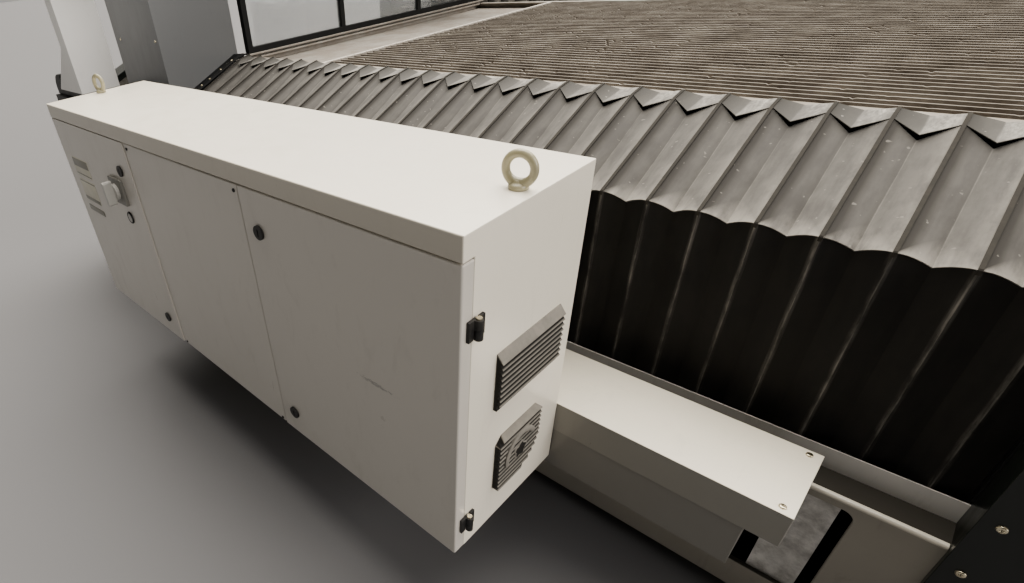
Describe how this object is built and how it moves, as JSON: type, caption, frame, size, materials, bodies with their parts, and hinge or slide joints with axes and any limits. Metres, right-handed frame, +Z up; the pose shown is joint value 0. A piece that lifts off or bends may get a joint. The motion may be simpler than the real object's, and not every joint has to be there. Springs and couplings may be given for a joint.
{
  "type": "gantry waterjet cutting machine",
  "caption": "Gantry waterjet cutting machine: slatted water tank between two beams under pleated bellows, travelling portal with cutting head, and a side-hung control cabinet.",
  "frame": {"origin": "on the floor, at the centre of the machine's outline", "axes": "+X along the beams, away from the parked gantry; +Y from the cabinet across the tank; +Z up"},
  "size_m": [3.96, 3.51, 1.85],
  "materials": {
    "cream_paint": "semi-gloss",
    "light_grey_paint": "semi-gloss",
    "dark_grey_paint": "satin",
    "black_paint": "satin",
    "end_paint": "semi-gloss",
    "black_plastic": "matte",
    "grey_plastic": "matte",
    "bellows_fabric": "dusty coated fabric",
    "clear_sheet": "clear",
    "steel": "brushed",
    "zinc": "zinc plated",
    "corroded_steel": "corroded",
    "tank_steel": "dusty stainless steel",
    "galvanised": "galvanised",
    "aluminium": "anodised",
    "carbide": "ground"
  },
  "bodies": {
    "frame": {"near_beam": "cream_paint", "far_beam": "cream_paint", "base_ties": "cream_paint", "levelling_feet": "black_paint", "water_tank": "tank_steel", "slat_combs": "corroded_steel", "bed_slats": "corroded_steel", "x_guide_rails": "steel", "magnet_tracks": "steel", "drip_strips": "cream_paint", "right_end_boxes": "end_paint", "left_end_boxes": "end_paint", "splash_guard_frame": "black_paint", "splash_guard_panels": "clear_sheet", "cabinet_shell": "cream_paint", "cabinet_middle_panel": "cream_paint", "mounting_plate": "galvanised", "drive_modules": "grey_plastic", "terminal_row": "grey_plastic", "cabinet_carriers": "cream_paint", "eye_bolts": "zinc", "filter_grille": "grey_plastic", "fan_guard": "grey_plastic", "fan_frame": "black_plastic", "hinge_fixed_leaves": "black_plastic", "hinge_pins": "zinc", "raceway_body": "cream_paint", "raceway_lid": "cream_paint", "cover_screws": "zinc", "chain_channel": "black_paint", "energy_chain": "black_plastic", "right_bellows": "bellows_fabric", "left_bellows": "bellows_fabric", "bellows_fixed_flanges": "black_paint"},
    "right_door_body": {"right_door": "cream_paint", "right_door_hinge_leaves": "black_plastic"},
    "left_door_body": {"left_door": "cream_paint", "left_door_hinge_leaves": "black_plastic", "main_switch_plate": "grey_plastic"},
    "right_upper_lock_body": {"right_upper_lock": "black_plastic"},
    "right_lower_lock_body": {"right_lower_lock": "black_plastic"},
    "left_upper_lock_body": {"left_upper_lock": "black_plastic"},
    "left_lower_lock_body": {"left_lower_lock": "black_plastic"},
    "main_switch": {"main_switch_handle": "black_plastic"},
    "fan": {"fan_impeller": "black_plastic"},
    "gantry": {"portal_frame": "light_grey_paint", "near_upright_cover": "dark_grey_paint", "far_upright_cover": "dark_grey_paint", "bridge_cover": "dark_grey_paint", "x_carriages": "steel", "motor_forcers": "aluminium", "bridge_rails": "steel", "tow_column": "light_grey_paint", "tow_shoe": "black_paint", "bellows_moving_flanges": "black_paint"},
    "saddle": {"y_saddle": "aluminium", "z_unit": "light_grey_paint"},
    "head": {"z_ram": "steel", "cutting_head": "steel", "focusing_tube": "carbide"}
  },
  "joints": [
    {"name": "x_travel", "type": "slide", "parent": "frame", "child": "gantry", "axis": [1, 0, 0], "range_m": [0, 2.4], "deforming": ["right_bellows", "left_bellows", "energy_chain"]},
    {"name": "y_travel", "type": "slide", "parent": "gantry", "child": "saddle", "axis": [0, 1, 0], "range_m": [-1.42, 0.2]},
    {"name": "z_travel", "type": "slide", "parent": "saddle", "child": "head", "axis": [0, 0, 1], "range_m": [-0.2, 0]},
    {"name": "right_door_swing", "type": "hinge", "parent": "frame", "child": "right_door_body", "pos_m": [1.094, -1.6705, 0.77], "axis": [0, 0, 1], "range_deg": [0, 125]},
    {"name": "left_door_swing", "type": "hinge", "parent": "frame", "child": "left_door_body", "pos_m": [-0.724, -1.6705, 0.77], "axis": [0, 0, -1], "range_deg": [0, 125]},
    {"name": "right_upper_lock_turn", "type": "hinge", "parent": "right_door_body", "child": "right_upper_lock_body", "pos_m": [0.545, -1.705, 1.005], "axis": [0, 1, 0], "range_deg": [0, 90]},
    {"name": "right_lower_lock_turn", "type": "hinge", "parent": "right_door_body", "child": "right_lower_lock_body", "pos_m": [0.545, -1.705, 0.468], "axis": [0, 1, 0], "range_deg": [0, 90]},
    {"name": "left_upper_lock_turn", "type": "hinge", "parent": "left_door_body", "child": "left_upper_lock_body", "pos_m": [-0.189, -1.705, 1.005], "axis": [0, -1, 0], "range_deg": [0, 90]},
    {"name": "left_lower_lock_turn", "type": "hinge", "parent": "left_door_body", "child": "left_lower_lock_body", "pos_m": [-0.189, -1.705, 0.468], "axis": [0, -1, 0], "range_deg": [0, 90]},
    {"name": "main_switch_turn", "type": "hinge", "parent": "left_door_body", "child": "main_switch", "pos_m": [-0.253, -1.705, 0.93], "axis": [0, -1, 0], "range_deg": [0, 90]},
    {"name": "fan_spin", "type": "hinge", "parent": "frame", "child": "fan", "pos_m": [1.065, -1.504, 0.569], "axis": [1, 0, 0], "continuous": true}
  ]
}
